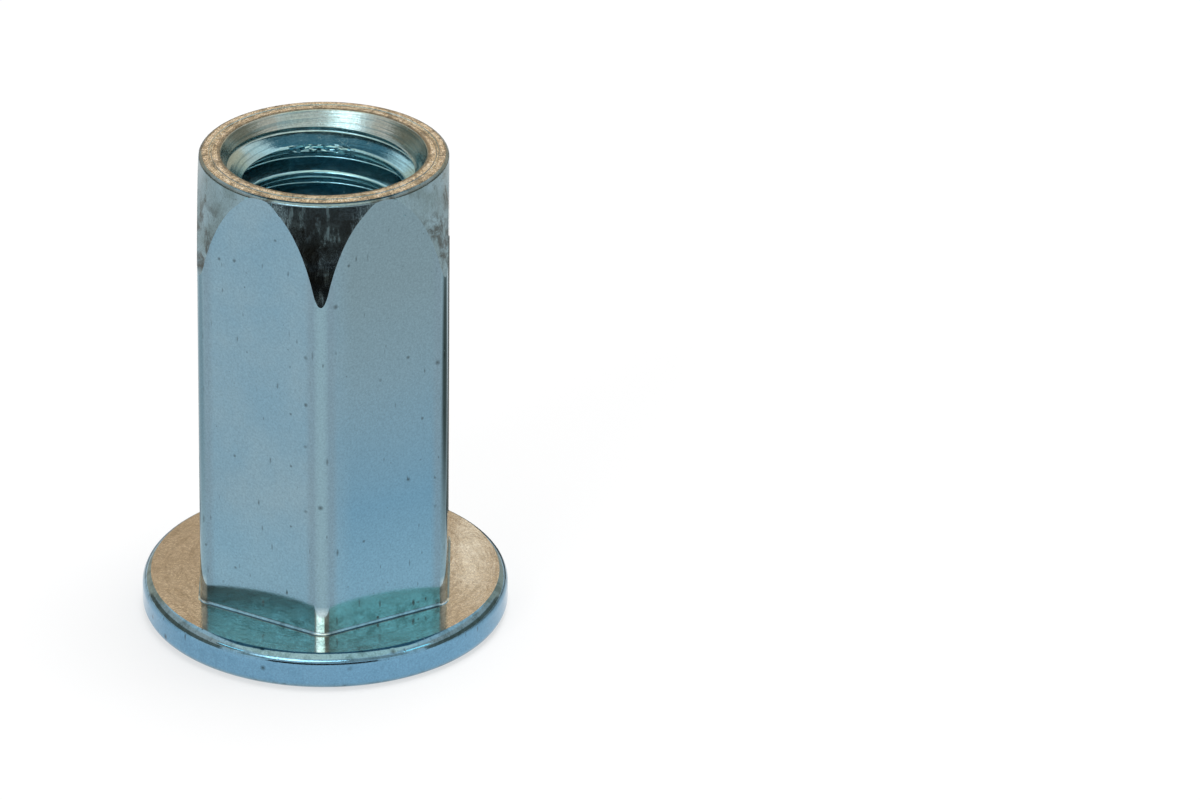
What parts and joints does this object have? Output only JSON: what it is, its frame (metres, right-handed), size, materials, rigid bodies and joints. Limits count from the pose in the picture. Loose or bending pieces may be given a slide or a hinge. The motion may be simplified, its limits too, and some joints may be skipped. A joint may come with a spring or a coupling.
{
  "type": "hexagon rivet nut",
  "caption": "Flanged rivet nut with a hexagon shank that fades into a round nose, a stepped bore and an internal thread at the tip end.",
  "frame": {"origin": "on the nut's axis, in the outer face of the flange, which is the bottom of the part", "axes": "+Z along the shank from the flange to the threaded tip; two of the hexagon's corners lie along Y and two of its flats face along X"},
  "size_m": [0.0194, 0.0194, 0.0266],
  "materials": {
    "plated_steel": "zinc plated, blue passivated, satin to glossy"
  },
  "bodies": {
    "root": {"rivet_nut": "plated_steel"}
  },
  "joints": []
}
